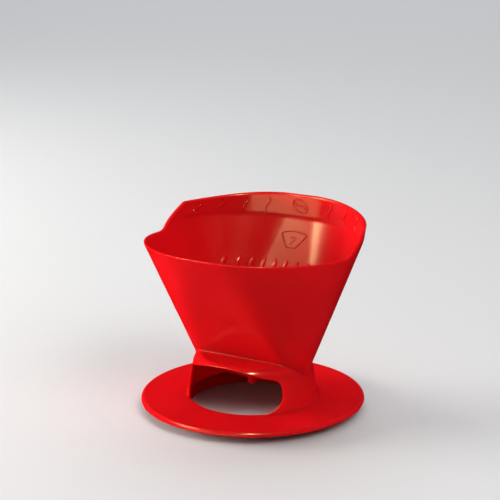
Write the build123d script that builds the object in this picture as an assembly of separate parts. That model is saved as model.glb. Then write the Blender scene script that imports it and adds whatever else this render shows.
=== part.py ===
from build123d import *
from math import asin, atan2, cos, sin
import os

# One-cup pour-over dripper: a wedge-shaped filter cone on an open collar and a wide saucer flange.
# Millimetres. +Z is up, the viewing window faces -Y, the wedge's long axis lies along X.
# The origin is on the table, at the centre of the locating ring's lower face.

# Saucer flange, and the ring under it that centres the dripper on a mug
FLANGE_RADIUS = 65.0
FLANGE_BOTTOM = 4.6
FLANGE_THICKNESS = 2.6
LIP_WIDTH = 3.0
LIP_TOP_EDGE = 2.0
LIP_LOWER_EDGE = 0.5
BORE_RADIUS = 36.4
RING_WALL = 2.2
RING_EDGE = 0.7
RING_SHOULDER = 0.4
SILL_EDGE = 1.2

# Open collar between the flange and the cone
COLLAR_WALL = 2.2
FOOT_RADIUS = 38.0
FOOT_FILLET = 2.2
FOOT_TOE = 0.3
WAIST_RADIUS = 34.8
SHOULDER_BOTTOM = 26.0
SHOULDER_TOP = 32.3
SHOULDER_BEND = 6.0

# Viewing window, as seen from the front
WINDOW_SILL = 6.5
WINDOW_HALF_WIDTH = 31.0
WINDOW_SILL_CORNER = 8.5
WINDOW_TOP_HALF_WIDTH = 28.6
WINDOW_TOP_SIDE = 25.2
WINDOW_APEX = 31.3
WINDOW_TOP_CORNER = 6.0

# Filter cone. A section is a slot, two half circles joined by straight flats, and is given
# on the outside as (height, half length of the flats, radius of the half circles).
CONE_WALL = 2.5
CONE_FOOT = (16.4, 29.2, 3.5)
CONE_RIM = (101.0, 6.9, 57.3)
FLOOR_THICKNESS = 2.2
KEEL_LOW = 17.4
KEEL_RADIUS = 130.0
BAND_HEIGHT = 17.0
BAND_DRAFT = 0.15

# Rim line, as seen from the side: corners as (place along Y, height), and the bend at each
RIM_FRONT = (-90.0, 101.0)
RIM_SAG = (-24.0, 98.4)
RIM_DIP = (0.0, 96.6)
RIM_SWOOP_TOP = (21.5, 110.2)
RIM_BACK = (60.0, 114.3)
RIM_SAG_BEND = 45.0
RIM_DIP_BEND = 12.0
RIM_SWOOP_BEND = 5.0

# Outlet
NOZZLE_RADIUS = 2.8
NOZZLE_TIP = 13.0
NOZZLE_EDGE = 0.6
DRIP_HOLE_RADIUS = 1.6

# Ribs on the inner walls, which hold the paper filter off the plastic
RIB_PITCH = 7.5
RIB_WIDTH = 2.2
RIB_HEIGHT = 2.0
RIB_TIP_HEIGHT = 1.0
RIB_TOP = 77.8
RIB_RUN_OUT = 3.0
RIBS_EACH_SIDE = 5

# Raised marks on the inner back wall. A steam stroke is (place along X, length).
MARK_HEIGHT = 0.5
MARK_LINE = 1.1
STEAM_STROKES = ((21.0, 9.2), (33.5, 8.8), (45.5, 7.8), (55.0, 6.8))
STEAM_LOW = 102.0
STEAM_SWAY = 1.2
EMBLEM_HEIGHT = 107.3
EMBLEM_HALF_LENGTH = 6.0
EMBLEM_HALF_WIDTH = 3.8
EMBLEM_TILT = 28.0
BEAN_CREASE = (3.96, 0.8)
SIZE_MARK_HEIGHT = 88.0
SIZE_MARK_HALF_WIDTH = 8.7
SIZE_MARK_FOOT = 3.0
SIZE_MARK_DEPTH = 8.4
SIZE_MARK_CROWN = 1.8
NUMERAL_LINE = 0.9
NUMERAL_HALF_WIDTH = 1.6
NUMERAL_HALF_HEIGHT = 2.4
NUMERAL_BOW = 1.2

FLANGE_TOP = FLANGE_BOTTOM + FLANGE_THICKNESS
RING_RADIUS = BORE_RADIUS + RING_WALL
SEAM_RADIUS = RING_RADIUS + RING_SHOULDER
REACH = 90.0


def between(low, high, height):
    """Section at a height on the straight taper from one section to another."""
    share = (height - low[0]) / (high[0] - low[0])
    return tuple(a + share * (b - a) for a, b in zip(low, high))


def slot_face(section, inset):
    """Horizontal face of a section, long along X, with its sides moved in."""
    height, flat, radius = section
    return Plane.XY.offset(height) * SlotCenterToCenter(2 * flat, 2 * (radius - inset))


def taper(low, high, low_inset=0.0, high_inset=None):
    """Solid between two sections."""
    top_inset = low_inset if high_inset is None else high_inset
    return loft([slot_face(low, low_inset), slot_face(high, top_inset)], ruled=True)


def keel(inset=0.0):
    """Everything above the cone's gently curved underside."""
    axis = Pos(0, 0, KEEL_LOW + KEEL_RADIUS) * Rot(90, 0, 0)
    return axis * Cylinder(KEEL_RADIUS - inset, 4 * REACH)


def cone_body(inset=0.0):
    """Solid wedge from its curved foot to the rim crease."""
    return taper(CONE_FOOT, CONE_RIM, inset) & keel()


def band_body(inset=0.0):
    """Solid of the steeper band that carries the back of the rim."""
    height, flat, radius = CONE_RIM
    top = (height + BAND_HEIGHT, flat, radius + BAND_DRAFT * BAND_HEIGHT)
    return taper(CONE_RIM, top, inset)


def slab(low, high):
    """Wide horizontal slab between two heights."""
    return Pos(0, 0, (low + high) / 2) * Box(2 * REACH, 2 * REACH, high - low)


def half_space(way):
    """Everything on one side of the wedge's mid plane, -1 for the window's side."""
    return Pos(0, way * REACH, 0) * Box(4 * REACH, 2 * REACH, 4 * REACH)


def turned(points, bends=None):
    """Full turn about Z of a polygon of (radius, height) points, with some corners rounded."""
    face = make_face(Polyline(*points, close=True))
    for place, radius in (bends or {}).items():
        corner = face.vertices().sort_by_distance((points[place][0], points[place][1], 0))[0]
        face = fillet(corner, radius)
    return revolve(Plane.XZ * face, Axis.Z)


def above_rim():
    """Everything over the rim line: a side profile run along X."""
    level = Line(RIM_FRONT, RIM_SAG)
    fall = Line(RIM_SAG, RIM_DIP)
    swoop = Line(RIM_DIP, RIM_SWOOP_TOP)
    back = TangentArc(RIM_SWOOP_TOP, RIM_BACK, tangent=(1, 0))
    ceiling = 2 * CONE_RIM[0]
    frame = Polyline(RIM_BACK, (REACH, RIM_BACK[1]), (REACH, ceiling), (-REACH, ceiling), RIM_FRONT)
    face = make_face([level, fall, swoop, back, frame])
    for corner, bend in ((RIM_SAG, RIM_SAG_BEND), (RIM_DIP, RIM_DIP_BEND),
                         (RIM_SWOOP_TOP, RIM_SWOOP_BEND)):
        face = fillet(face.vertices().sort_by_distance((*corner, 0))[0], bend)
    return extrude(Plane.YZ * face, REACH, both=True)


def window_cut():
    """The viewing window's outline, run forwards from the axis."""
    low = (WINDOW_HALF_WIDTH - WINDOW_SILL_CORNER, WINDOW_SILL)
    side = (WINDOW_HALF_WIDTH, WINDOW_SILL + WINDOW_SILL_CORNER)
    top = (WINDOW_TOP_HALF_WIDTH, WINDOW_TOP_SIDE)
    edges = [Line((-low[0], low[1]), low)]
    for flip in (1, -1):
        a, b, c = ((flip * x, z) for x, z in (low, side, top))
        edges += [TangentArc(a, b, tangent=(flip, 0)), TangentArc(b, c, tangent=(0, 1))]
    edges.append(ThreePointArc(top, (0, WINDOW_APEX), (-top[0], top[1])))
    face = make_face(edges)
    for flip in (1, -1):
        corner = face.vertices().sort_by_distance((flip * top[0], top[1], 0))[0]
        face = fillet(corner, WINDOW_TOP_CORNER)
    return extrude(Plane.XZ * face, REACH)


def flange_and_lip():
    """Flat saucer, and its rounded outer edge."""
    inner = FLANGE_RADIUS - LIP_WIDTH
    flange = turned([(SEAM_RADIUS, FLANGE_BOTTOM), (inner, FLANGE_BOTTOM),
                     (inner, FLANGE_TOP), (SEAM_RADIUS, FLANGE_TOP)])
    lip = turned([(inner, FLANGE_BOTTOM), (FLANGE_RADIUS, FLANGE_BOTTOM),
                  (FLANGE_RADIUS, FLANGE_TOP), (inner, FLANGE_TOP)],
                 {1: LIP_LOWER_EDGE, 2: LIP_TOP_EDGE})
    return flange, lip


def locating_ring():
    """Ring round the bore: it drops inside a mug's mouth, and its top edge is the window's sill."""
    return turned([(BORE_RADIUS, 0), (RING_RADIUS, 0), (RING_RADIUS, FLANGE_BOTTOM),
                   (SEAM_RADIUS, FLANGE_BOTTOM), (SEAM_RADIUS, FLANGE_TOP), (BORE_RADIUS, FLANGE_TOP)],
                  {0: RING_EDGE, 1: RING_EDGE, 5: SILL_EDGE})


def collar_wall():
    """Tapered collar wall with a foot fillet, before the window is cut."""
    foot = FOOT_RADIUS + FOOT_FILLET
    return turned([(BORE_RADIUS, FLANGE_TOP), (foot, FLANGE_TOP),
                   (FOOT_RADIUS, FLANGE_TOP + FOOT_TOE), (WAIST_RADIUS, SHOULDER_BOTTOM),
                   (WAIST_RADIUS - COLLAR_WALL, SHOULDER_BOTTOM)], {2: FOOT_FILLET})


def shoulder_dome():
    """Rounded roof of the collar, before the cone and the window pass through it."""
    def drum(inset):
        side = WAIST_RADIUS - inset
        top = SHOULDER_TOP - inset
        return turned([(0, SHOULDER_BOTTOM), (side, SHOULDER_BOTTOM), (side, top), (0, top)],
                      {2: SHOULDER_BEND - inset})
    return drum(0) - drum(COLLAR_WALL)


def ribs():
    """Ribs on the back and the front inner walls, standing in planes across X."""
    tops = between(CONE_FOOT, CONE_RIM, RIB_TOP)
    run_out = between(CONE_FOOT, CONE_RIM, RIB_TOP - RIB_RUN_OUT)
    start = between(CONE_FOOT, CONE_RIM, KEEL_LOW + FLOOR_THICKNESS)
    deep = CONE_WALL + RIB_HEIGHT
    core = taper(start, run_out, deep)
    core += taper(run_out, tops, deep, CONE_WALL + RIB_TIP_HEIGHT)
    space = taper(start, CONE_RIM, CONE_WALL) & keel(FLOOR_THICKNESS) & slab(0, RIB_TOP)
    liner = space - core
    groups = {"back_wall_ribs": 1, "front_wall_ribs": -1}
    made = {}
    for name, way in groups.items():
        bars = []
        for place in range(-RIBS_EACH_SIDE, RIBS_EACH_SIDE + 1):
            bar = Pos(place * RIB_PITCH, way * REACH / 2, REACH / 2) * Box(RIB_WIDTH, REACH, REACH)
            bars += (liner & bar).solids()
        made[name] = bars
    return made


def cone_floor():
    """Plate that closes the wedge's foot, with the drip hole."""
    plate = cone_body(CONE_WALL) - keel(FLOOR_THICKNESS)
    return plate - Pos(0, 0, KEEL_LOW) * Cylinder(DRIP_HOLE_RADIUS, 4 * FLOOR_THICKNESS)


def drip_nozzle():
    """Short spout under the floor."""
    top = KEEL_LOW + FLOOR_THICKNESS
    tube = turned([(DRIP_HOLE_RADIUS, NOZZLE_TIP), (NOZZLE_RADIUS, NOZZLE_TIP),
                   (NOZZLE_RADIUS, top), (DRIP_HOLE_RADIUS, top)], {1: NOZZLE_EDGE})
    return tube - keel()


def band_spot(across, height):
    """Plane that faces the axis on the band's inner back wall, at a place along X."""
    flat = CONE_RIM[1]
    radius = CONE_RIM[2] + BAND_DRAFT * (height - CONE_RIM[0]) - CONE_WALL
    past = max(abs(across) - flat, 0.0)
    turn = asin(past / radius) * (1 if across > 0 else -1)
    inward = (-sin(turn), -cos(turn), 0)
    place = (across, radius * cos(turn), height)
    return Plane(origin=place, x_dir=(cos(turn), -sin(turn), 0), z_dir=inward)


def on_band(sketches):
    """Raise sketches on the band's inner face by the mark height."""
    liner = band_body(CONE_WALL) - band_body(CONE_WALL + MARK_HEIGHT)
    marks = []
    for sketch in sketches:
        marks += (extrude(sketch, 4 * CONE_WALL, both=True) & liner).solids()
    return marks


def steam_marks():
    """Wavy strokes each side of the emblem."""
    marks = []
    for place, length in STEAM_STROKES:
        lower = ThreePointArc((0, 0), (STEAM_SWAY, length / 4), (0, length / 2))
        upper = ThreePointArc(lower @ 1, (-STEAM_SWAY, 3 * length / 4), (0, length))
        stroke = trace([lower, upper], MARK_LINE)
        for across in (-place, place):
            marks += on_band([band_spot(across, STEAM_LOW) * stroke])
    return marks


def bean_emblem():
    """Plain coffee bean: an oval with its crease."""
    oval = Ellipse(EMBLEM_HALF_LENGTH, EMBLEM_HALF_WIDTH)
    inner = Ellipse(EMBLEM_HALF_LENGTH - MARK_LINE, EMBLEM_HALF_WIDTH - MARK_LINE)
    half, sway = BEAN_CREASE
    left = ThreePointArc((-half, 0), (-half / 2, sway), (0, 0))
    right = ThreePointArc((0, 0), (half / 2, -sway), (half, 0))
    crease = trace([left, right], MARK_LINE)
    spot = band_spot(0, EMBLEM_HEIGHT) * Rot(0, 0, EMBLEM_TILT)
    return on_band([spot * (oval - inner), spot * crease])


def size_mark():
    """Outline of a flat paper filter with its size number, on the flat back wall."""
    section = between(CONE_FOOT, CONE_RIM, SIZE_MARK_HEIGHT)
    lean = atan2(CONE_RIM[2] - CONE_FOOT[2], CONE_RIM[0] - CONE_FOOT[0])
    wall = Plane(origin=(0, section[2] - CONE_WALL, SIZE_MARK_HEIGHT), x_dir=(1, 0, 0),
                 z_dir=(0, -cos(lean), sin(lean)))
    foot, crown, half = -SIZE_MARK_DEPTH / 2, SIZE_MARK_DEPTH / 2, SIZE_MARK_HALF_WIDTH
    sides = Polyline((-half, crown), (-SIZE_MARK_FOOT, foot), (SIZE_MARK_FOOT, foot), (half, crown))
    top = ThreePointArc((half, crown), (0, crown + SIZE_MARK_CROWN), (-half, crown))
    outline = make_face([sides, top])
    ring = offset(outline, MARK_LINE / 2) - offset(outline, -MARK_LINE / 2)
    wide, high = NUMERAL_HALF_WIDTH, NUMERAL_HALF_HEIGHT
    bow = ThreePointArc((-wide, high - NUMERAL_BOW), (0, high), (wide, high - NUMERAL_BOW))
    legs = Polyline((wide, high - NUMERAL_BOW), (-wide, -high), (wide, -high))
    number = trace([bow, legs], NUMERAL_LINE)
    return [extrude(wall * sketch, MARK_HEIGHT).solids()[0] for sketch in (ring, number)]


def save(name, shape):
    """Write one node's file and say what it holds."""
    solids = shape if isinstance(shape, list) else shape.solids()
    whole = solids[0] if len(solids) == 1 else Compound(children=list(solids))
    export_step(whole, f"parts/{name}.step")
    print(name, len(solids), "solids", round(sum(s.volume for s in solids), 1), "mm3")


os.makedirs("parts", exist_ok=True)
wedge = cone_body()
trim = above_rim()
window = window_cut()
flange, lip = flange_and_lip()
collar = collar_wall() - wedge - window
shoulder = shoulder_dome() - wedge - window
nodes = {
    "base_flange": flange,
    "flange_lip": lip,
    "mug_locating_ring": locating_ring(),
    "window_collar": collar,
    "front_shoulder": shoulder & half_space(-1),
    "back_shoulder": shoulder & half_space(1),
    "filter_cone": wedge - cone_body(CONE_WALL) - trim,
    "raised_back_rim": band_body() - band_body(CONE_WALL) - trim,
}
nodes["cone_floor"] = cone_floor()
nodes["drip_nozzle"] = drip_nozzle()
nodes.update(ribs())
nodes["steam_marks"] = steam_marks()
nodes["bean_emblem"] = bean_emblem()
nodes["filter_size_mark"] = size_mark()
for node, shape in nodes.items():
    save(node, shape)
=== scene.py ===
import math

import bpy
import numpy as np
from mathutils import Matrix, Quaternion, Vector

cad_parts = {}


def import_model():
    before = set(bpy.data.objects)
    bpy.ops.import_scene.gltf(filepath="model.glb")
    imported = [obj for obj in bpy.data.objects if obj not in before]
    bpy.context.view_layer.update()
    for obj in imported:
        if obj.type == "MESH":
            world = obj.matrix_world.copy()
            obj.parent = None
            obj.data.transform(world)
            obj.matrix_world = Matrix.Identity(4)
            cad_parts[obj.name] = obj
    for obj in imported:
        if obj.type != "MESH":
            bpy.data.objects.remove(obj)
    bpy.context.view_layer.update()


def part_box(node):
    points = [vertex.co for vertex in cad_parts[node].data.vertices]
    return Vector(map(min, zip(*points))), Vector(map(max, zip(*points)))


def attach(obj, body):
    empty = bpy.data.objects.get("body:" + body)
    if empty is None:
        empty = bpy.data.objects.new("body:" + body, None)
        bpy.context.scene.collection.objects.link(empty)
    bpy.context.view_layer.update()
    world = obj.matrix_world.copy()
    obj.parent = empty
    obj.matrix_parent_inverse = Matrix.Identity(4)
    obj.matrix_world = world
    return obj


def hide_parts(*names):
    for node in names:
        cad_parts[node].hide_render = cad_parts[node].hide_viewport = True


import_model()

# ---------------------------------------------------------------- sizes, in millimetres
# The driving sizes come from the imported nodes, and the wall and edge sizes repeat the CAD's.

MM = 0.001


def node_box(name):
    """Lowest and highest corner of a CAD node, in millimetres."""
    low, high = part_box(name)
    return np.array(low) / MM, np.array(high) / MM


FLANGE_LOW, FLANGE_HIGH = node_box("flange_lip")
FLANGE_RADIUS = FLANGE_HIGH[0]
FLANGE_BOTTOM = FLANGE_LOW[2]
FLANGE_TOP = FLANGE_HIGH[2]
SEAM_RADIUS = node_box("mug_locating_ring")[1][0]
SHOULDER_TOP = node_box("front_shoulder")[1][2]
CREASE_HEIGHT = node_box("raised_back_rim")[0][2]
RIB_TOP = node_box("back_wall_ribs")[1][2]
NOZZLE_TIP = node_box("drip_nozzle")[0][2]

LIP_WIDTH = 3.0
LIP_TOP_EDGE = 2.0
LIP_LOWER_EDGE = 0.5
BORE_RADIUS = 36.4
RING_SHOULDER = 0.4
RING_RADIUS = SEAM_RADIUS - RING_SHOULDER
RING_EDGE = 0.7
SILL_EDGE = 1.2

FOOT_RADIUS = 38.0
FOOT_FILLET = 2.2
WAIST = (34.8, 26.0)
INNER_WAIST = (32.6, 26.0)
SHOULDER_BEND = 6.0
SHOULDER_WALL = 2.2
CREASE_FILLET = 2.0

WINDOW_SILL = 6.5
WINDOW_HALF_WIDTH = 31.0
WINDOW_SILL_CORNER = 8.5
WINDOW_TOP = (28.6, 25.2)
WINDOW_APEX = 31.3
WINDOW_TOP_CORNER = 6.0
WINDOW_EDGE = 0.7

CONE_WALL = 2.5
CONE_FOOT = (16.4, 29.2, 3.5)
CONE_RIM = (101.0, 6.9, 57.3)
BAND_DRAFT = 0.15
CREASE_BLEND = 2.2
FLOOR_THICKNESS = 2.2
KEEL_LOW = 17.4
KEEL_RADIUS = 130.0
FOOT_EDGE = 0.6

RIM_FRONT = (-90.0, 101.0)
RIM_SAG = (-24.0, 98.4)
RIM_DIP = (0.0, 96.6)
RIM_SWOOP_TOP = (21.5, 110.2)
RIM_BACK = (60.0, 114.3)
RIM_BENDS = (45.0, 12.0, 5.0)
RIM_EDGE = 1.15

NOZZLE_RADIUS = 2.8
NOZZLE_EDGE = 0.6
DRIP_HOLE_RADIUS = 1.6

RIB_PITCH = 7.5
RIB_HALF_WIDTH = 1.1
RIB_HEIGHT = 2.0
RIB_TIP_HEIGHT = 1.0
RIB_RUN_OUT = 3.0
RIBS_EACH_SIDE = 5

MARK_HEIGHT = 0.5
MARK_LINE = 1.1
STEAM_STROKES = ((21.0, 9.2), (33.5, 8.8), (45.5, 7.8), (55.0, 6.8))
STEAM_LOW = 102.0
STEAM_SWAY = 1.2
EMBLEM_HEIGHT = 107.3
EMBLEM_HALF = (6.0, 3.8)
EMBLEM_TILT = math.radians(28)
BEAN_CREASE = (3.96, 0.8)
SIZE_MARK_HEIGHT = 88.0
SIZE_MARK_HALF = (8.7, 4.2)
SIZE_MARK_FOOT = 3.0
SIZE_MARK_CROWN = 1.8
NUMERAL_HALF = (1.6, 2.4)
NUMERAL_BOW = 1.2


# ---------------------------------------------------------------- curves and meshes

def rounded_line(points, bends, step=3.0):
    """Points along a 2-D line whose inner corners are rounded, with the direction at each."""
    points = [np.array(p, float) for p in points]
    made, ways = [], []

    def straight(start, end):
        run = end - start
        length = np.linalg.norm(run)
        if length < 1e-9:
            return
        count = max(1, math.ceil(length / step))
        for i in range(count + 1):
            made.append(start + run * i / count)
            ways.append(run / length)

    at = points[0]
    for corner, after, bend in zip(points[1:-1], points[2:], bends):
        into = (corner - at) / np.linalg.norm(corner - at)
        out = (after - corner) / np.linalg.norm(after - corner)
        turn = math.atan2(into[0] * out[1] - into[1] * out[0], float(into @ out))
        reach = bend * math.tan(abs(turn) / 2)
        start = corner - into * reach
        straight(at, start)
        side = np.array([-into[1], into[0]]) * math.copysign(1, turn)
        centre = start + side * bend
        count = max(2, math.ceil(abs(turn) / math.radians(7)))
        for i in range(1, count):
            a = turn * i / count
            c, s = math.cos(a), math.sin(a)
            arm = -side * bend
            made.append(centre + np.array([c * arm[0] - s * arm[1], s * arm[0] + c * arm[1]]))
            ways.append(np.array([c * into[0] - s * into[1], s * into[0] + c * into[1]]))
        at = corner + out * reach
    straight(at, points[-1])
    made, ways = np.array(made), np.array(ways)
    keep = np.r_[True, np.linalg.norm(np.diff(made, axis=0), axis=1) > 1e-6]
    return made[keep], ways[keep]


def unit(vectors):
    """Vectors scaled to length one."""
    return vectors / np.maximum(np.linalg.norm(vectors, axis=-1, keepdims=True), 1e-12)


class Piece:
    """A mesh gathered from sheets of points, each with its own smooth normals, and welded."""

    def __init__(self, name, *nodes):
        self.name = name
        self.nodes = nodes
        self.points, self.normals, self.faces = [], [], []
        self.count = 0

    def sheet(self, points, normals=None, wrap=False, flip=False, keep=None):
        """Add a grid of points, rows by columns. Faces look along columns x rows."""
        points = np.asarray(points, float)
        rows, columns = points.shape[:2]
        if normals is None:
            if wrap:
                across = np.roll(points, -1, 1) - np.roll(points, 1, 1)
            else:
                across = np.gradient(points, axis=1, edge_order=1)
            along = np.gradient(points, axis=0, edge_order=2 if rows > 2 else 1)
            normals = unit(np.cross(across, along))
        if flip:
            normals = -normals
        index = np.arange(rows * columns).reshape(rows, columns) + self.count
        if wrap:
            index = np.concatenate([index, index[:, :1]], axis=1)
        quads = np.stack([index[:-1, :-1], index[:-1, 1:], index[1:, 1:], index[1:, :-1]], -1)
        if keep is not None:
            quads = quads[keep]
        quads = quads.reshape(-1, 4)
        self.faces.append(quads[:, ::-1] if flip else quads)
        self.points.append(points.reshape(-1, 3))
        self.normals.append(normals.reshape(-1, 3))
        self.count += rows * columns

    def cap(self, first, second, wrap=False, flip=False, keep=None):
        """A flat-shaded strip between two rows of points, for a joint face inside the moulding."""
        points = np.stack([first, second])
        nxt = np.roll(points, -1, 1) if wrap else points[:, 1:]
        own = points if wrap else points[:, :-1]
        for i in range(own.shape[1]):
            if keep is not None and not keep[i]:
                continue
            quad = np.array([[own[0, i], nxt[0, i]], [own[1, i], nxt[1, i]]])
            normal = unit(np.cross(quad[1, 1] - quad[0, 0], quad[1, 0] - quad[0, 1]))
            self.sheet(quad, np.broadcast_to(normal, (2, 2, 3)), flip=flip)

    def build(self, material):
        """The welded Blender mesh, riding on the body and standing for its nodes."""
        points = np.concatenate(self.points)
        normals = np.concatenate(self.normals)
        faces = np.concatenate(self.faces)
        keys = np.round(points, 3)
        _, first, weld = np.unique(keys, axis=0, return_index=True, return_inverse=True)
        weld = weld.ravel()
        polygons, loop_normals = [], []
        for face in faces:
            corners, own = [], []
            for corner in face:
                if weld[corner] not in corners:
                    corners.append(int(weld[corner]))
                    own.append(normals[corner])
            if len(corners) > 2:
                polygons.append(corners)
                loop_normals += own
        mesh = bpy.data.meshes.new(self.name)
        mesh.from_pydata((points[first] * MM).tolist(), [], polygons)
        mesh.polygons.foreach_set("use_smooth", [True] * len(polygons))
        mesh.normals_split_custom_set([Vector(n) for n in loop_normals])
        mesh.materials.append(material)
        made = bpy.data.objects.new(self.name, mesh)
        bpy.context.scene.collection.objects.link(made)
        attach(made, "root")
        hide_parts(*self.nodes)
        return made


def lathe(piece, profile, ways, turns=256, flip=False):
    """Turn a (radius, height) run about Z. The surface looks to the right of its direction."""
    angles = np.linspace(0, 2 * math.pi, turns, endpoint=False)
    c, s = np.cos(angles), np.sin(angles)
    radius, height = profile[:, :1], profile[:, 1:]
    points = np.stack([radius * c, radius * s, height + 0 * c], -1)
    out, up = ways[:, 1:], -ways[:, :1]
    normals = np.stack([out * c, out * s, up + 0 * c], -1)
    piece.sheet(points, normals, wrap=True, flip=flip)


def turned(piece, points, bends, step=3.0):
    """Turn a rounded (radius, height) line, upwards on the outside."""
    lathe(piece, *rounded_line(points, bends, step))


# ---------------------------------------------------------------- the wedge's walls

def eased(height, slope_low, slope_high, at_crease):
    """A size that changes slope at the crease through a short blend, and its slope."""
    past = height - CREASE_HEIGHT
    share = np.clip((past + CREASE_BLEND) / (2 * CREASE_BLEND), 0, 1)
    slope = slope_low + (slope_high - slope_low) * share
    bend = (slope_high - slope_low) * CREASE_BLEND
    blend = bend * share ** 2 + (slope_high - slope_low) * np.maximum(past - CREASE_BLEND, 0)
    size = at_crease + slope_low * past + blend
    return size, slope


RISE = CONE_RIM[0] - CONE_FOOT[0]
FLAT_SLOPE = (CONE_RIM[1] - CONE_FOOT[1]) / RISE
RADIUS_SLOPE = (CONE_RIM[2] - CONE_FOOT[2]) / RISE


def section(height):
    """Half length of the flats and radius of the ends at a height, with their slopes."""
    height = np.asarray(height, float)
    flat, flat_slope = eased(height, FLAT_SLOPE, 0.0, CONE_RIM[1])
    radius, radius_slope = eased(height, RADIUS_SLOPE, BAND_DRAFT, CONE_RIM[2])
    return flat, radius, flat_slope, radius_slope


def wall_columns():
    """Columns round the wedge: the share along the flat, and the level outward direction."""
    half = np.radians(np.concatenate([
        np.linspace(-90, -8, 44, endpoint=False), np.linspace(-8, 36, 72, endpoint=False),
        np.linspace(36, 90, 30, endpoint=False)]))
    flats = np.linspace(-1, 1, 40, endpoint=False)
    share = np.concatenate([np.ones(half.size), -flats, -np.ones(half.size), flats])
    way_x = np.concatenate([np.cos(half), 0 * flats, -np.cos(half), 0 * flats])
    way_y = np.concatenate([np.sin(half), 0 * flats + 1, -np.sin(half), 0 * flats - 1])
    # the far end of the second half circle runs back to front, so its columns are re-spaced to
    # keep the close ones at the swoop
    left = slice(half.size + flats.size, 2 * half.size + flats.size)
    mirrored = np.radians(90) - np.concatenate([[0], np.cumsum(np.diff(half)[::-1])])
    way_x[left] = -np.cos(mirrored)
    way_y[left] = np.sin(mirrored)
    return share, way_x, way_y


SHARE, WAY_X, WAY_Y = wall_columns()


def wall(height, inset=0.0):
    """Points of every column at given heights, moved in by an inset, and their outward normals."""
    flat, radius, flat_slope, radius_slope = section(height)
    x = SHARE * flat + (radius - inset) * WAY_X
    y = (radius - inset) * WAY_Y
    points = np.stack(np.broadcast_arrays(x, y, height), -1)
    lean = radius_slope + SHARE * flat_slope * WAY_X
    normals = unit(np.stack(np.broadcast_arrays(WAY_X, WAY_Y, -lean), -1))
    return points, normals


def keel_height(x):
    """Height of the wedge's curved underside."""
    return KEEL_LOW + KEEL_RADIUS - np.sqrt(KEEL_RADIUS ** 2 - x ** 2)


def outside(points):
    """Level distance from the wedge's outer wall."""
    flat, radius, _, _ = section(points[..., 2])
    past = np.maximum(np.abs(points[..., 0]) - flat, 0)
    return np.hypot(past, points[..., 1]) - radius


def outward(points):
    """Outward normal of the wedge's outer wall near given points."""
    flat, _, flat_slope, radius_slope = section(points[..., 2])
    past = np.maximum(np.abs(points[..., 0]) - flat, 0) * np.sign(points[..., 0])
    level = unit(np.stack([past, points[..., 1]], -1))
    share = np.sign(points[..., 0]) * (past != 0)
    lean = radius_slope + share * flat_slope * level[..., 0]
    return unit(np.concatenate([level, -lean[..., None]], -1))


def rim_line():
    """The rim's side profile as (place along Y, height) points."""
    front, _ = rounded_line([RIM_FRONT, RIM_SAG, RIM_DIP, RIM_SWOOP_TOP, (40.0, RIM_SWOOP_TOP[1])],
                            RIM_BENDS, 1.0)
    front = front[front[:, 0] < 23.3]
    run, rise = RIM_BACK[0] - RIM_SWOOP_TOP[0], RIM_BACK[1] - RIM_SWOOP_TOP[1]
    radius = (run ** 2 + rise ** 2) / (2 * rise)
    y = np.linspace(23.4, RIM_BACK[0] + 8, 60)
    z = RIM_SWOOP_TOP[1] + radius - np.sqrt(radius ** 2 - (y - RIM_SWOOP_TOP[0]) ** 2)
    return np.concatenate([front, np.stack([y, z], -1)])


RIM_LINE = rim_line()


def rim_height(inset):
    """Height of the rim line over every column, on the wall moved in by an inset."""
    height = np.full(SHARE.size, 98.0)
    for _ in range(60):
        y = wall(height, inset)[0][:, 1]
        height = 0.5 * height + 0.5 * np.interp(y, RIM_LINE[:, 0], RIM_LINE[:, 1])
    return height


def foot_height(inset):
    """Height of the curved underside below every column."""
    height = np.full(SHARE.size, 19.0)
    for _ in range(40):
        height = keel_height(wall(height, inset)[0][:, 0])
    return height


def spread(low, high, count, ease=1.0):
    """Rows of values from one row to another."""
    share = np.linspace(0, 1, count)[:, None] ** ease
    return low + (high - low) * share


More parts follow.
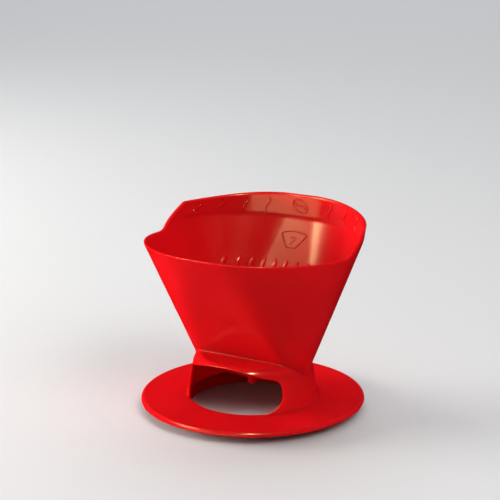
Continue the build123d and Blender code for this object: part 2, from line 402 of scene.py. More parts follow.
def make_walls():
    """The filter cone up to the crease, and the band that carries the high back of the rim."""
    cone = Piece("filter_cone_wall", "filter_cone")
    band = Piece("high_back_rim", "raised_back_rim")
    outer_rim, inner_rim = rim_height(0.0), rim_height(CONE_WALL)
    high = (outer_rim + inner_rim) / 2 - RIM_EDGE > CREASE_HEIGHT
    high_face = high & np.roll(high, -1)

    underside = [wall(foot_height(inset), inset)[0] for inset in np.linspace(CONE_WALL, FOOT_EDGE, 4)]
    slope = underside[0][:, 0] / KEEL_RADIUS
    down = unit(np.stack([slope, 0 * slope, 0 * slope - 1], -1))
    cone.sheet(np.stack(underside), np.broadcast_to(down, (4, *down.shape)), wrap=True)
    edge = []
    for turn in np.linspace(0, math.pi / 2, 5):
        inset = FOOT_EDGE * (1 - math.sin(turn))
        height = foot_height(inset) + FOOT_EDGE * (1 - math.cos(turn))
        edge.append(wall(height, inset)[0])
    low_outer = foot_height(0.0) + FOOT_EDGE
    edge_normals = []
    for turn in np.linspace(0, math.pi / 2, 5):
        mixed = math.cos(turn) * down + math.sin(turn) * wall(low_outer)[1]
        edge_normals.append(unit(mixed))
    cone.sheet(np.stack(edge), np.stack(edge_normals), wrap=True)

    for inset, rim, side in ((0.0, outer_rim, 1), (CONE_WALL, inner_rim, -1)):
        top = rim - RIM_EDGE
        seam = np.where(high, CREASE_HEIGHT, top)
        bottom = low_outer if side > 0 else foot_height(CONE_WALL) + FLOOR_THICKNESS
        blend_start = np.minimum(CREASE_HEIGHT - CREASE_BLEND, seam)
        rows = np.concatenate([spread(bottom, blend_start, 26), spread(blend_start, seam, 5)[1:]])
        points, normals = wall(rows, inset)
        cone.sheet(points[::side], side * normals[::side], wrap=True)
        blend_end = np.minimum(CREASE_HEIGHT + CREASE_BLEND, top)
        rows = np.concatenate([spread(seam, blend_end, 5), spread(blend_end, top, 8)[1:]])
        points, normals = wall(rows, inset)
        band.sheet(points[::side], side * normals[::side], wrap=True,
                   keep=np.broadcast_to(high_face, (points.shape[0] - 1, high.size)))
        if side < 0:
            low = wall(foot_height(CONE_WALL), CONE_WALL)[0]
            cone.cap(wall(bottom, CONE_WALL)[0], low, wrap=True)

    turns = np.linspace(0, math.pi, 13)
    crest = []
    for turn in turns:
        across = 0.5 * (1 - math.copysign(abs(math.cos(turn)) ** 0.85, math.cos(turn)))
        drop = RIM_EDGE * (1 - math.sin(turn) ** 0.85)
        height = outer_rim + (inner_rim - outer_rim) * across - drop
        crest.append(wall(height, CONE_WALL * across)[0])
    crest = np.stack(crest)
    normals = smooth_normals(crest)
    normals[0] = wall(outer_rim - RIM_EDGE)[1]
    normals[-1] = -wall(inner_rim - RIM_EDGE)[1]
    faces = np.broadcast_to(high_face, (crest.shape[0] - 1, high.size))
    band.sheet(crest, normals, wrap=True, keep=faces)
    cone.sheet(crest, normals, wrap=True, keep=~faces)

    level = np.full(SHARE.size, CREASE_HEIGHT)
    seam_outer, seam_inner = wall(level)[0], wall(level, CONE_WALL)[0]
    cone.cap(seam_outer, seam_inner, wrap=True, keep=high_face)
    band.cap(seam_outer, seam_inner, wrap=True, keep=high_face, flip=True)
    return cone, band


def smooth_normals(points):
    """Normals of a wrapped grid from its own shape."""
    across = np.roll(points, -1, 1) - np.roll(points, 1, 1)
    along = np.gradient(points, axis=0, edge_order=2)
    return unit(np.cross(across, along))


# ---------------------------------------------------------------- the collar and its shoulders

class Profile:
    """A (radius, height) run that is turned about Z, measured along its length."""

    def __init__(self, points, bends):
        self.line, self.ways = rounded_line(points, bends, 0.5)
        steps = np.linalg.norm(np.diff(self.line, axis=0), axis=1)
        self.length = np.r_[0, np.cumsum(steps)]

    def at(self, angle, along):
        """Points at angles from -Y towards +X, and lengths along the run, with normals."""
        radius = np.interp(along, self.length, self.line[:, 0])
        height = np.interp(along, self.length, self.line[:, 1])
        way = unit(np.stack([np.interp(along, self.length, self.ways[:, k]) for k in (0, 1)], -1))
        s, c = np.sin(angle), np.cos(angle)
        points = np.stack([radius * s, -radius * c, height], -1)
        normals = np.stack([way[..., 1] * s, -way[..., 1] * c, -way[..., 0]], -1)
        return points, normals

    def frame(self, angle, along):
        """Unit directions round and along the surface, and the radius."""
        radius = np.interp(along, self.length, self.line[:, 0])
        way = unit(np.stack([np.interp(along, self.length, self.ways[:, k]) for k in (0, 1)], -1))
        s, c = np.sin(angle), np.cos(angle)
        around = np.stack([c, s, 0 * s], -1)
        onward = np.stack([way[..., 0] * s, -way[..., 0] * c, way[..., 1]], -1)
        return around, onward, radius

    def along_at(self, height):
        """Length along the rising part at a height."""
        top = int(np.argmax(self.line[:, 1] > self.line[-1, 1] - 1e-6))
        return np.interp(height, self.line[:top + 1, 1], self.length[:top + 1])

    def moved(self, angle, along, direction, distance):
        """Surface place reached by a step in a direction."""
        around, onward, radius = self.frame(angle, along)
        angle = angle + distance * np.sum(direction * around, -1) / radius
        along = along + distance * np.sum(direction * onward, -1)
        return angle, np.maximum(along, 0)


def collar_profiles():
    """Outer and inner runs, from the flange up the wall and over the shoulder."""
    slope = (WAIST[0] - FOOT_RADIUS) / (WAIST[1] - FLANGE_TOP)
    corner = FOOT_RADIUS + slope * (SHOULDER_TOP - FLANGE_TOP)
    turn = math.pi / 2 + math.atan(slope)
    toe = FOOT_RADIUS + FOOT_FILLET * math.tan(turn / 2)
    outer = Profile([(toe, FLANGE_TOP), (FOOT_RADIUS, FLANGE_TOP), (corner, SHOULDER_TOP),
                     (8.0, SHOULDER_TOP)], (FOOT_FILLET, SHOULDER_BEND))
    slope = (INNER_WAIST[0] - BORE_RADIUS) / (INNER_WAIST[1] - FLANGE_TOP)
    ceiling = SHOULDER_TOP - SHOULDER_WALL
    corner = BORE_RADIUS + slope * (ceiling - FLANGE_TOP)
    inner = Profile([(BORE_RADIUS, FLANGE_TOP), (corner, ceiling), (8.0, ceiling)],
                    (SHOULDER_BEND - SHOULDER_WALL,))
    return outer, inner


def arc(centre, radius, start, end, count):
    """Points of an arc between two angles."""
    angles = np.linspace(start, end, count)
    return np.stack([centre[0] + radius * np.cos(angles), centre[1] + radius * np.sin(angles)], -1)


def window_outline():
    """Right half of the window as (x, height): over the arch, down the side, to the flange."""
    half, high = WINDOW_TOP
    rise = WINDOW_APEX - high
    arch_radius = (half ** 2 + rise ** 2) / (2 * rise)
    arch = np.array([0, WINDOW_APEX - arch_radius])
    side_low = np.array([WINDOW_HALF_WIDTH, WINDOW_SILL + WINDOW_SILL_CORNER])
    run = WINDOW_HALF_WIDTH - half
    side_radius = (run ** 2 + (high - side_low[1]) ** 2) / (2 * run)
    side = side_low - (side_radius, 0)
    # the round between arch and side is centred where both, moved in by its radius, cross
    r1, r2 = arch_radius - WINDOW_TOP_CORNER, side_radius - WINDOW_TOP_CORNER
    gap = side - arch
    span = np.linalg.norm(gap)
    along = (r1 ** 2 - r2 ** 2 + span ** 2) / (2 * span)
    off = math.sqrt(r1 ** 2 - along ** 2)
    gap = gap / span
    centre = arch + along * gap + off * np.array([gap[1], -gap[0]])
    from_arch, from_side = centre - arch, centre - side
    a1 = math.atan2(from_arch[1], from_arch[0])
    a2 = math.atan2(from_side[1], from_side[0])
    sill = side_low - (WINDOW_SILL_CORNER, 0)
    foot = -math.asin((side_low[1] - FLANGE_TOP) / WINDOW_SILL_CORNER)
    return np.concatenate([
        arc(arch, arch_radius, math.pi / 2, a1, 46)[:-1],
        arc(centre, WINDOW_TOP_CORNER, a1, a2, 8)[:-1],
        arc(side, side_radius, a2, 0, 16)[:-1],
        arc(sill, WINDOW_SILL_CORNER, 0, foot, 16)])


def mirrored_loop(angle, *others):
    """A half loop from the front to the back, made whole: angles change sign, the rest doesn't."""
    whole = [np.concatenate([angle, -angle[-2:0:-1]])]
    for other in others:
        whole.append(np.concatenate([other, other[-2:0:-1]]))
    return whole


def bezier(first, corner, last, count):
    """Rows of a rounded corner between two rows of points."""
    t = np.linspace(0, 1, count)[:, None, None]
    return (1 - t) ** 2 * first + 2 * t * (1 - t) * corner + t ** 2 * last


def blended(first, last, count):
    """Normals that turn evenly from one row to another."""
    t = np.linspace(0, 1, count)[:, None, None]
    return unit((1 - t) * first + t * last)


def crease(profile, angle, depth=0.0):
    """Length along the run where it meets the wedge, or goes a depth into its wall."""
    low = np.zeros_like(angle)
    high = np.full_like(angle, profile.length[-1])
    for _ in range(50):
        middle = (low + high) / 2
        clear = outside(profile.at(angle, middle)[0]) > -depth
        low, high = np.where(clear, middle, low), np.where(clear, high, middle)
    return low


def make_collar():
    """The collar wall with its window, and the front and back shoulders."""
    collar = Piece("window_collar_wall", "window_collar")
    front = Piece("front_shoulder_roof", "front_shoulder")
    back = Piece("back_shoulder_roof", "back_shoulder")
    outer, inner = collar_profiles()
    outline = window_outline()
    count = len(outline)
    edge_out = np.clip(outer.along_at(outline[:, 1]), 0, None)
    ceiling = SHOULDER_TOP - SHOULDER_WALL - 0.05
    edge_in = inner.along_at(np.minimum(outline[:, 1], ceiling))

    def angles_of(profile, along):
        radius = np.interp(along, profile.length, profile.line[:, 0])
        return np.arcsin(outline[:, 0] / radius)

    sides = {}
    for name, profile, along in (("out", outer, edge_out), ("in", inner, edge_in)):
        angle = angles_of(profile, along)
        points, normals = profile.at(angle, along)
        run = np.gradient(points, axis=0)
        run[0] = (1, 0, 0)
        away = unit(np.cross(unit(run), normals))
        upward = away[0, 2] if abs(away[0, 2]) > 0.05 else away[0, 1]
        if upward < 0:
            away = -away
        moved = profile.moved(angle, along, away, WINDOW_EDGE)
        sides[name] = (angle, along, points, normals, moved)

    split = int(np.argmax(sides["out"][0]))
    foot_rows = count - split

    # upper boundary: where the collar meets the wedge, one angle for every column
    arch_angle = sides["out"][4][0]
    corner = int(np.argmax(outline[:, 0] > WINDOW_TOP[0] - 1.2))
    turn_angle = arch_angle[corner]
    down = foot_rows - 1
    side_angles = np.linspace(turn_angle, math.radians(91), split + down - corner + 1)
    back_angles = np.linspace(math.radians(91), math.pi, 70)
    upper = np.concatenate([arch_angle[:corner], side_angles, back_angles[1:]])

    made = {}
    for name, profile in (("out", outer), ("in", inner)):
        angle, along, _, _, moved = sides[name]
        wall_angle = np.full(down, moved[0][split])
        wall_along = moved[1][split] * (1 - np.arange(1, down + 1) / down)
        behind = np.linspace(moved[0][split], math.pi, back_angles.size)[1:]
        low_angle = np.concatenate([moved[0][:split + 1], wall_angle, behind])
        low_along = np.concatenate([moved[1][:split + 1], wall_along, 0 * behind])
        made[name] = mirrored_loop(low_angle, low_along)
    (upper_angle,) = mirrored_loop(upper)
    crease_along = crease(outer, upper_angle)
    crease_points, collar_normals = outer.at(upper_angle, crease_along)
    wedge_normals = outward(crease_points)
    run = unit(np.roll(crease_points, -1, 0) - np.roll(crease_points, 1, 0))
    off_collar = unit(np.cross(collar_normals, run))
    off_collar *= np.sign(np.sum(off_collar * wedge_normals, -1, keepdims=True))
    off_wedge = unit(np.cross(wedge_normals, run))
    off_wedge *= np.sign(np.sum(off_wedge * collar_normals, -1, keepdims=True))
    low_edge = outer.moved(upper_angle, crease_along, off_collar, CREASE_FILLET)
    high_edge = crease_points + CREASE_FILLET * off_wedge
    high_normals = outward(high_edge)
    level = unit(high_normals * (1, 1, 0))
    high_edge = high_edge - level * (outside(high_edge)[:, None] - 0.02)

    rows = 14
    waist_out, waist_in = outer.along_at(WAIST[1]), inner.along_at(WAIST[1])
    inner_crease = crease(inner, upper_angle, 1.0)
    ends = {"out": (outer, low_edge[0], low_edge[1], waist_out),
            "in": (inner, upper_angle, inner_crease, waist_in)}
    sheets = {}
    for name, (profile, top_angle, top_along, waist) in ends.items():
        low_angle, low_along = made[name]
        rise = top_along - low_along
        share = np.clip((waist - low_along) / np.where(np.abs(rise) < 1e-6, 1e-6, rise), 0, 1)
        share = np.where(low_along >= waist, 0.0, np.where(top_along <= waist, 1.0, share))
        lower = np.linspace(0, 1, rows)[:, None] * share
        higher = share + np.linspace(0, 1, rows)[:, None] * (1 - share)
        for part, mix in (("low", lower), ("high", higher)):
            a = low_angle + mix * (top_angle - low_angle)
            s = low_along + mix * rise
            sheets[name, part] = profile.at(a, s)
        sheets[name, "share"] = share

    columns = upper_angle.size
    in_front = np.cos(upper_angle + 1e-9) > 0
    front_face = np.broadcast_to(in_front & np.roll(in_front, -1), (rows - 1, columns))
    for name, flip in (("out", False), ("in", True)):
        points, normals = sheets[name, "low"]
        collar.sheet(points, normals, wrap=True, flip=flip)
        points, normals = sheets[name, "high"]
        for piece, faces in ((front, front_face), (back, ~front_face)):
            piece.sheet(points, normals, wrap=True, flip=flip, keep=faces)

    # the round between the collar and the wedge
    strip = bezier(outer.at(*low_edge)[0], crease_points, high_edge, 9)
    strip_normals = blended(outer.at(*low_edge)[1], outward(high_edge), 9)
    share = sheets["out", "share"]
    low_column = (share > 0.999) & (np.roll(share, -1) > 0.999)
    shape = (8, columns)
    is_low = np.broadcast_to(low_column, shape)
    is_front = np.broadcast_to(front_face[0], shape)
    collar.sheet(strip, strip_normals, wrap=True, keep=is_low)
    front.sheet(strip, strip_normals, wrap=True, keep=~is_low & is_front)
    back.sheet(strip, strip_normals, wrap=True, keep=~is_low & ~is_front)
    hidden = sheets["in", "high"][0][-1]
    for piece, faces in ((collar, low_column), (front, ~low_column & front_face[0]),
                         (back, ~low_column & ~front_face[0])):
        piece.cap(high_edge, hidden, wrap=True, keep=faces)
    both = (share > 1e-6) & (share < 0.999) & (sheets["in", "share"] > 1e-6) \
        & (sheets["in", "share"] < 0.999)
    both = both & np.roll(both, -1)
    seam_out, seam_in = sheets["out", "low"][0][-1], sheets["in", "low"][0][-1]
    collar.cap(seam_out, seam_in, wrap=True, keep=both)
    front.cap(seam_out, seam_in, wrap=True, keep=both & front_face[0], flip=True)
    back.cap(seam_out, seam_in, wrap=True, keep=both & ~front_face[0], flip=True)

    # the slivers of wall beside the sill corners, and the collar's foot
    for way in (1, -1):
        feet = []
        for name, profile in (("out", outer), ("in", inner)):
            angle, along = (v[split:] for v in sides[name][4])
            mix = np.linspace(0, 1, foot_rows)[:, None]
            a = np.broadcast_to(angle, (foot_rows, foot_rows))
            s = mix * along
            # the first column runs down the shared edge, so its rows match the wall's
            s[:, 0] = along[0] * np.arange(foot_rows) / down
            points, normals = profile.at(a * way, s)
            oriented_sheet(collar, points, normals if name == "out" else -normals)
            feet.append(points[0])
        collar.cap(feet[0], feet[1], flip=way < 0)
    low_out, low_in = sheets["out", "low"][0][0], sheets["in", "low"][0][0]
    on_flange = (made["out"][1] < 1e-6) & (made["in"][1] < 1e-6)
    collar.cap(low_in, low_out, wrap=True, keep=on_flange & np.roll(on_flange, -1))

    # the window's rounded edges and its cut face
    parts = {}
    for name in ("out", "in"):
        angle, along, points, normals, moved = sides[name]
        profile = outer if name == "out" else inner
        parts[name] = (points, profile.at(*moved)[0], profile.at(*moved)[1])
    sharp_out, soft_out, normal_out = parts["out"]
    sharp_in, soft_in, normal_in = parts["in"]
    through = unit(sharp_in - sharp_out)
    cut_out = sharp_out + WINDOW_EDGE * through
    cut_in = sharp_in - WINDOW_EDGE * through
    run = unit(np.gradient(sharp_out, axis=0))
    face_normal = unit(np.cross(through, run))
    toward = np.stack([-outline[:, 0], 0 * outline[:, 0], 18 - outline[:, 1]], -1)
    face_normal *= np.sign(np.sum(face_normal * toward, -1, keepdims=True))
    rows_out = bezier(soft_out, sharp_out, cut_out, 6)
    rows_in = bezier(cut_in, sharp_in, soft_in, 6)
    normals_out = blended(normal_out, face_normal, 6)
    normals_in = blended(face_normal, -normal_in, 6)
    ring = np.concatenate([rows_out, rows_in])
    ring_normals = np.concatenate([normals_out, normals_in])
    above = outline[:, 1] > WAIST[1]
    above_face = np.broadcast_to((above[:-1] & above[1:]), (ring.shape[0] - 1, count - 1))
    for way in (1, -1):
        flipped = ring * (way, 1, 1)
        own = ring_normals * (way, 1, 1)
        for piece, faces in ((front, above_face), (collar, ~above_face)):
            oriented_sheet(piece, flipped, own, faces)
    return collar, front, back


def oriented_sheet(piece, points, normals, keep=None):
    """Add a grid whose faces are turned to agree with the normals given."""
    first = np.cross(points[:-1, 1:] - points[:-1, :-1], points[1:, :-1] - points[:-1, :-1])
    agree = np.sum(first * normals[:-1, :-1]) > 0
    if agree:
        piece.sheet(points, normals, keep=keep)
    else:
        piece.sheet(points[:, ::-1], normals[:, ::-1],
                    keep=None if keep is None else keep[:, ::-1])


# ---------------------------------------------------------------- flange, ring, floor and nozzle

def make_flange():
    """The saucer's plate."""
    piece = Piece("saucer_plate", "base_flange")
    inner = FLANGE_RADIUS - LIP_WIDTH
    turned(piece, [(inner, FLANGE_TOP), (SEAM_RADIUS, FLANGE_TOP)], ())
    turned(piece, [(SEAM_RADIUS, FLANGE_TOP), (SEAM_RADIUS, FLANGE_BOTTOM)], ())
    turned(piece, [(SEAM_RADIUS, FLANGE_BOTTOM), (inner, FLANGE_BOTTOM)], ())
    turned(piece, [(inner, FLANGE_BOTTOM), (inner, FLANGE_TOP)], ())
    return piece


def make_lip():
    """The saucer's rounded edge."""
    piece = Piece("saucer_lip", "flange_lip")
    inner = FLANGE_RADIUS - LIP_WIDTH
    turned(piece, [(inner, FLANGE_BOTTOM), (FLANGE_RADIUS, FLANGE_BOTTOM),
                   (FLANGE_RADIUS, FLANGE_TOP), (inner, FLANGE_TOP)],
           (LIP_LOWER_EDGE, LIP_TOP_EDGE), 0.8)
    turned(piece, [(inner, FLANGE_TOP), (inner, FLANGE_BOTTOM)], ())
    return piece


def make_ring():
    """The ring that centres the dripper on a mug, up to the window's sill."""
    piece = Piece("bore_and_locating_ring", "mug_locating_ring")
    turned(piece, [(SEAM_RADIUS, FLANGE_TOP), (BORE_RADIUS, FLANGE_TOP), (BORE_RADIUS, 0.0),
                   (RING_RADIUS, 0.0), (RING_RADIUS, FLANGE_BOTTOM)],
           (SILL_EDGE, RING_EDGE, RING_EDGE), 1.0)
    turned(piece, [(RING_RADIUS, FLANGE_BOTTOM), (SEAM_RADIUS, FLANGE_BOTTOM)], ())
    turned(piece, [(SEAM_RADIUS, FLANGE_BOTTOM), (SEAM_RADIUS, FLANGE_TOP)], ())
    return piece


def make_floor():
    """The plate that closes the wedge's foot, dished towards the drip hole."""
    piece = Piece("cone_floor_plate", "cone_floor")
    angle = np.arctan2(WAY_Y, SHARE * 4.0 + WAY_X)
    edge = wall(foot_height(CONE_WALL) + FLOOR_THICKNESS, CONE_WALL)[0][:, :2]
    hole = np.stack([np.cos(angle), np.sin(angle)], -1) * DRIP_HOLE_RADIUS
    mix = np.linspace(0, 1, 16)[:, None, None]
    top = edge + (hole - edge) * mix
    near = np.linalg.norm(top, axis=-1)
    sink = 0.5 * np.clip(1 - (near - DRIP_HOLE_RADIUS) / 2.0, 0, 1) ** 2
    height = keel_height(top[..., 0]) + FLOOR_THICKNESS - sink
    points = np.concatenate([top, height[..., None]], -1)
    piece.sheet(points, smooth_normals(points), wrap=True)
    turn = np.linspace(0, 1, 3)[:, None]
    bottom_hole = keel_height(hole[:, 0])
    bore = np.concatenate([np.broadcast_to(hole, (3, *hole.shape)),
                           (height[-1] + (bottom_hole - height[-1]) * turn)[..., None]], -1)
    piece.sheet(bore, wrap=True)
    low_edge = wall(foot_height(CONE_WALL), CONE_WALL)[0][:, :2]
    under = hole + (low_edge - hole) * mix
    points = np.concatenate([under, keel_height(under[..., 0])[..., None]], -1)
    piece.sheet(points, wrap=True)
    rim = np.concatenate([edge, (keel_height(edge[:, 0]) + FLOOR_THICKNESS)[:, None]], -1)
    piece.cap(points[-1], rim, wrap=True)
    return piece


def make_nozzle():
    """The short spout under the floor."""
    piece = Piece("drip_spout", "drip_nozzle")
    top = KEEL_LOW + 0.6
    tip = NOZZLE_TIP
    points, ways = rounded_line(
        [(DRIP_HOLE_RADIUS, top), (DRIP_HOLE_RADIUS, tip), (NOZZLE_RADIUS, tip),
         (NOZZLE_RADIUS, KEEL_LOW), (NOZZLE_RADIUS + 1.2, KEEL_LOW + 0.1)],
        (0.4, NOZZLE_EDGE, 0.9), 0.8)
    lathe(piece, points, ways, 64)
    lathe(piece, *rounded_line([(NOZZLE_RADIUS + 1.2, KEEL_LOW + 0.1), (NOZZLE_RADIUS, top),
                                (DRIP_HOLE_RADIUS, top)], (0.2,), 1.0), 64)
    return piece


# ---------------------------------------------------------------- ribs and raised marks

def wall_depth(x, height, inset):
    """Distance of the inner wall from the X axis's plane at a place along X."""
    flat, radius, _, _ = section(height)
    past = np.maximum(np.abs(x) - flat, 0)
    return np.sqrt(np.maximum((radius - inset) ** 2 - past ** 2, 0.0))


def make_ribs(name, node, side):
    """Rounded fins on one inner wall, each in a plane across X."""
    piece = Piece(name, node)
    turns = np.linspace(-math.pi / 2, math.pi / 2, 13)
    wide = np.sign(np.sin(turns)) * np.abs(np.sin(turns)) ** 0.55
    proud = np.abs(np.cos(turns)) ** 0.55
    for place in range(-RIBS_EACH_SIDE, RIBS_EACH_SIDE + 1):
        x = place * RIB_PITCH
        levels = np.linspace(keel_height(min(abs(x), 30.0)) + 1.0, RIB_TOP, 400)
        flat, radius, _, _ = section(levels)
        room = radius - CONE_WALL - RIB_HEIGHT - np.maximum(abs(x) + RIB_HALF_WIDTH - flat, 0)
        start = levels[np.argmax(room > 0.4)]
        body = np.linspace(start, RIB_TOP - RIB_RUN_OUT, 14)
        tip = RIB_TOP - RIB_RUN_OUT * (1 - np.linspace(0, 1, 12)[1:] ** 0.6)
        heights = np.concatenate([body, tip])[:, None]
        gone = np.clip((heights - RIB_TOP + RIB_RUN_OUT) / RIB_RUN_OUT, 0, 1)
        high = RIB_HEIGHT + (RIB_TIP_HEIGHT - RIB_HEIGHT) * gone
        half = RIB_HALF_WIDTH * (1 - 0.15 * gone)
        close = np.sqrt(np.clip(1 - np.clip((gone - 0.55) / 0.45, 0, 1) ** 2, 0, 1))
        half, high = half * close, high * close
        across = x + half * wide
        inset = CONE_WALL - 0.25 + (high + 0.25) * proud
        depth = wall_depth(across, heights, inset)
        points = np.stack(np.broadcast_arrays(across, side * depth, heights), -1)
        normals = unit(np.cross(np.gradient(points, axis=1), np.gradient(points, axis=0, edge_order=2)))
        towards = np.array([0.0, -side, 0.25])
        if np.sum(normals[4, 6] * towards) < 0:
            points, normals = points[:, ::-1], -normals[:, ::-1]
        bad = ~np.isfinite(normals).all(-1) | (np.linalg.norm(normals, axis=-1) < 0.5)
        normals[bad] = unit(towards)
        piece.sheet(points, normals)
        piece.cap(points[0, :7], points[0, :5:-1])
    return piece


def ridge(piece, path, outs, half_width, height, closed=False):
    """A low rounded ridge along a path on a wall: outs are the wall's normals."""
    path = np.asarray(path, float)
    if closed:
        ahead = unit(np.roll(path, -1, 0) - np.roll(path, 1, 0))
    else:
        ahead = unit(np.gradient(path, axis=0))
    side = unit(np.cross(ahead, outs))
    turns = np.linspace(0, math.pi, 9)
    half_width = np.broadcast_to(half_width, len(path))[:, None]
    rows = []
    for turn in turns:
        up = -0.12 + (height + 0.12) * math.sin(turn) ** 0.75
        rows.append(path + side * half_width * math.cos(turn) + outs * up)
    grid = np.stack(rows)
    if closed:
        normals = smooth_normals(grid)
    else:
        normals = unit(np.cross(np.gradient(grid, axis=1), np.gradient(grid, axis=0, edge_order=2)))
        normals[~(np.linalg.norm(normals, axis=-1) > 0.5)] = outs[0]
    if np.sum(normals[4] * outs) < 0:
        normals = -normals
        grid, normals = grid[::-1], normals[::-1]
    piece.sheet(grid, normals, wrap=closed)


def band_place(x, height):
    """Points and inward normals on the inner back wall at places along X and heights."""
    x, height = np.asarray(x, float), np.asarray(height, float)
    depth = wall_depth(x, height, CONE_WALL)
    points = np.stack([x, depth, height], -1)
    return points, -outward(points)


def make_steam():
    """Wavy strokes each side of the emblem, thicker in the middle."""
    piece = Piece("steam_strokes", "steam_marks")
    share = np.linspace(0, 1, 33)
    for place, length in STEAM_STROKES:
        for way in (-1, 1):
            x = way * place - STEAM_SWAY * np.sin(2 * math.pi * share)
            points, outs = band_place(x, STEAM_LOW + length * share)
            thick = 0.5 * MARK_LINE * (0.25 + 0.95 * np.sin(math.pi * share) ** 0.8)
            ridge(piece, points, outs, thick, MARK_HEIGHT)
    return piece


def make_emblem():
    """A plain coffee bean: an oval with its crease."""
    piece = Piece("bean_outline", "bean_emblem")

    def place(u, v):
        x = u * math.cos(EMBLEM_TILT) - v * math.sin(EMBLEM_TILT)
        z = u * math.sin(EMBLEM_TILT) + v * math.cos(EMBLEM_TILT)
        return band_place(-x, EMBLEM_HEIGHT + z)

    turn = np.linspace(0, 2 * math.pi, 72, endpoint=False)
    half = (EMBLEM_HALF[0] - MARK_LINE / 2, EMBLEM_HALF[1] - MARK_LINE / 2)
    points, outs = place(half[0] * np.cos(turn), half[1] * np.sin(turn))
    ridge(piece, points, outs, MARK_LINE / 2, MARK_HEIGHT, closed=True)
    reach, sway = BEAN_CREASE
    u = np.linspace(-reach, reach, 25)
    points, outs = place(u, -sway * np.sin(math.pi * u / reach))
    ridge(piece, points, outs, MARK_LINE / 2 * (1 - 0.5 * np.abs(u / reach) ** 3), MARK_HEIGHT)
    return piece


def make_size_mark():
    """Outline of a flat paper filter with its size number."""
    piece = Piece("filter_size_outline", "filter_size_mark")
    lean = math.atan(RADIUS_SLOPE)

    def place(line):
        line = np.asarray(line, float)
        return band_place(line[:, 0], SIZE_MARK_HEIGHT + line[:, 1] * math.cos(lean))

    (half, deep), foot, crown = SIZE_MARK_HALF, SIZE_MARK_FOOT, SIZE_MARK_CROWN
    rise = (half ** 2 + crown ** 2) / (2 * crown)
    top = math.asin(half / rise)
    arch = arc((0, deep + crown - rise), rise, math.pi / 2 - top, math.pi / 2 + top, 24)
    legs = [(-half, deep), (-foot, -deep), (foot, -deep), (half, deep)]
    sides, _ = rounded_line(legs, (0.8, 0.8), 0.6)
    outline = np.concatenate([sides[:-1], arch[:-1]])
    points, outs = place(outline)
    ridge(piece, points, outs, MARK_LINE / 2, MARK_HEIGHT, closed=True)
    wide, high = NUMERAL_HALF
    bow_radius = (wide ** 2 + NUMERAL_BOW ** 2) / (2 * NUMERAL_BOW)
    lean_in = math.asin(wide / bow_radius)
    bow = arc((0, high - bow_radius), bow_radius, math.pi / 2 + lean_in, math.pi / 2 - lean_in, 12)
    tail, _ = rounded_line([(wide, high - NUMERAL_BOW), (-wide, -high), (wide, -high)], (0.25,), 0.5)
    number = np.concatenate([bow[:-1], tail])
    points, outs = place(number)
    ridge(piece, points, outs, 0.45, MARK_HEIGHT * 0.9)
    return piece


# ---------------------------------------------------------------- material

def plastic():
    """Glossy red moulded polypropylene."""
    material = bpy.data.materials.new("red_moulded_plastic")
    material.use_nodes = True
    nodes, links = material.node_tree.nodes, material.node_tree.links
    nodes.clear()
    out = nodes.new("ShaderNodeOutputMaterial")
    shader = nodes.new("ShaderNodeBsdfPrincipled")
    links.new(shader.outputs["BSDF"], out.inputs["Surface"])
    place = nodes.new("ShaderNodeTexCoord")

    def noise(scale, detail, rough=0.5):
        made = nodes.new("ShaderNodeTexNoise")
        made.inputs["Scale"].default_value = scale
        made.inputs["Detail"].default_value = detail
        made.inputs["Roughness"].default_value = rough
        links.new(place.outputs["Object"], made.inputs["Vector"])
        return made

    cloud = noise(22.0, 3.0)
    tone = nodes.new("ShaderNodeValToRGB")
    tone.color_ramp.elements[0].position = 0.3
    tone.color_ramp.elements[0].color = (0.56, 0.0035, 0.0068, 1)
    tone.color_ramp.elements[1].position = 0.75
    tone.color_ramp.elements[1].color = (0.64, 0.0050, 0.0088, 1)
    links.new(cloud.outputs["Fac"], tone.inputs["Fac"])
    links.new(tone.outputs["Color"], shader.inputs["Base Color"])

    haze = noise(60.0, 5.0, 0.6)
    gloss = nodes.new("ShaderNodeMapRange")
    gloss.inputs["From Min"].default_value = 0.3
    gloss.inputs["From Max"].default_value = 0.7
    gloss.inputs["To Min"].default_value = 0.17
    gloss.inputs["To Max"].default_value = 0.23
    links.new(haze.outputs["Fac"], gloss.inputs["Value"])
    links.new(gloss.outputs["Result"], shader.inputs["Roughness"])

    peel = noise(420.0, 2.0)
    grain = noise(2600.0, 2.0)
    mixed = nodes.new("ShaderNodeMath")
    mixed.operation = "MULTIPLY_ADD"
    mixed.inputs[1].default_value = 0.35
    links.new(grain.outputs["Fac"], mixed.inputs[0])
    links.new(peel.outputs["Fac"], mixed.inputs[2])
    bump = nodes.new("ShaderNodeBump")
    bump.inputs["Strength"].default_value = 0.05
    bump.inputs["Distance"].default_value = 0.0004
    links.new(mixed.outputs[0], bump.inputs["Height"])
    links.new(bump.outputs["Normal"], shader.inputs["Normal"])

    shader.inputs["IOR"].default_value = 1.49
    shader.inputs["Subsurface Weight"].default_value = 0.45
    shader.inputs["Subsurface Radius"].default_value = (1.0, 0.06, 0.04)
    shader.inputs["Subsurface Scale"].default_value = 0.004
    shader.inputs["Specular IOR Level"].default_value = 0.25
    shader.inputs["Specular Tint"].default_value = (1.0, 0.85, 0.50, 1)
    return material


# ---------------------------------------------------------------- the object

red = plastic()
pieces = [*make_walls(), *make_collar(), make_flange(), make_lip(), make_ring(), make_floor(),
          make_nozzle(), make_ribs("back_ribs", "back_wall_ribs", 1),
          make_ribs("front_ribs", "front_wall_ribs", -1), make_steam(), make_emblem(),
          make_size_mark()]
for made in pieces:
    made.build(red)


# ---------------------------------------------------------------- floor, light and camera

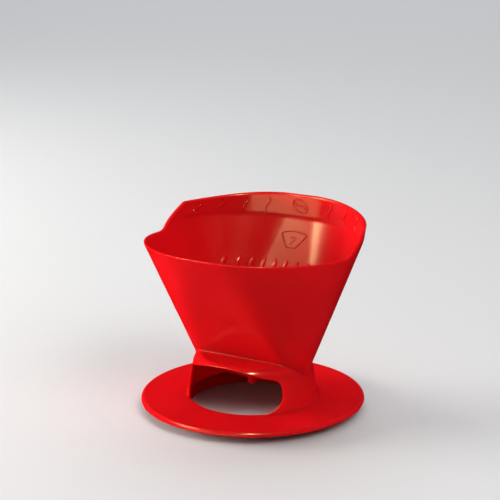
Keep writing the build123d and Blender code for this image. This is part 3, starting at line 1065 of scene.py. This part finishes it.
def floor():
    """A plain pale floor."""
    mesh = bpy.data.meshes.new("floor")
    reach = 12.0
    mesh.from_pydata([(-reach, -reach, 0), (reach, -reach, 0), (reach, reach, 0), (-reach, reach, 0)],
                     [], [(0, 1, 2, 3)])
    material = bpy.data.materials.new("pale_floor")
    material.use_nodes = True
    shader = material.node_tree.nodes["Principled BSDF"]
    shader.inputs["Base Color"].default_value = (0.56, 0.565, 0.57, 1)
    shader.inputs["Roughness"].default_value = 0.7
    mesh.materials.append(material)
    made = bpy.data.objects.new("floor", mesh)
    bpy.context.scene.collection.objects.link(made)
    made.visible_glossy = False


CAMERA_DISTANCE = 0.9
CAMERA_TURN = math.radians(31.0)
CAMERA_RISE = math.radians(20.398)
CAMERA_ROLL = math.radians(-0.2035)
CAMERA_HEIGHT_ORIGIN = 0.005
AIM_HEIGHT = 0.0930
AIM_ACROSS = -0.0013


def camera():
    """A camera at the height and side from which the object was pictured."""
    data = bpy.data.cameras.new("camera")
    data.sensor_width = 36.0
    data.lens = 110.33
    made = bpy.data.objects.new("camera", data)
    bpy.context.scene.collection.objects.link(made)
    level = math.cos(CAMERA_RISE) * CAMERA_DISTANCE
    across, away = math.cos(CAMERA_TURN), math.sin(CAMERA_TURN)
    made.location = (level * away, -level * across,
                     CAMERA_HEIGHT_ORIGIN + CAMERA_DISTANCE * math.sin(CAMERA_RISE))
    aim = Vector((AIM_ACROSS * across, AIM_ACROSS * away, AIM_HEIGHT)) - made.location
    facing = aim.to_track_quat("-Z", "Y") @ Quaternion((0, 0, 1), CAMERA_ROLL)
    made.rotation_euler = facing.to_euler()
    bpy.context.scene.camera = made


def lamp(name, azimuth, elevation, distance, size, power, colour, aim=(0, 0, 0.06)):
    """A soft box at an azimuth measured like the camera's, looking at a point."""
    data = bpy.data.lights.new(name, "AREA")
    data.shape = "RECTANGLE"
    data.size, data.size_y = size
    data.energy = power
    data.color = colour
    made = bpy.data.objects.new(name, data)
    bpy.context.scene.collection.objects.link(made)
    a, e = math.radians(azimuth), math.radians(elevation)
    away = Vector((math.sin(a) * math.cos(e), -math.cos(a) * math.cos(e), math.sin(e)))
    made.location = Vector(aim) + away * distance
    made.rotation_euler = (-away).to_track_quat("-Z", "Y").to_euler()
    return made


def world():
    """Even pale surroundings."""
    made = bpy.data.worlds.new("surroundings")
    made.use_nodes = True
    made.node_tree.nodes["Background"].inputs["Color"].default_value = (0.9, 0.95, 1.0, 1)
    made.node_tree.nodes["Background"].inputs["Strength"].default_value = 0.27
    made.cycles_visibility.glossy = False
    bpy.context.scene.world = made


floor()
camera()
world()
# lamps seen only as reflections in the plastic, then lamps that only light it
for shine in (
        lamp("left_soft_box", -59, 46, 1.2, (0.36, 0.36), 20.0, (1.0, 0.88, 0.70)),
        lamp("low_front_box", -10, 8, 1.3, (1.5, 0.5), 14.0, (1.0, 0.86, 0.68)),
        lamp("small_lamp", 28, 61, 1.6, (0.05, 0.05), 36.0, (1.0, 0.93, 0.82))):
    shine.visible_diffuse = False
for fill in (
        lamp("left_low_fill", -74, 9, 1.3, (0.9, 0.36), 38.0, (1.0, 0.96, 0.92)),
        lamp("right_high_fill", 72, 46, 1.5, (0.8, 0.8), 12.0, (1.0, 0.96, 0.94)),
        lamp("back_floor_fill", 211, 72, 3.2, (5.0, 4.0), 130.0, (0.97, 0.98, 1.0), (-0.9, 1.5, 0))):
    fill.visible_glossy = False

scene = bpy.context.scene
scene.view_settings.view_transform = "Standard"
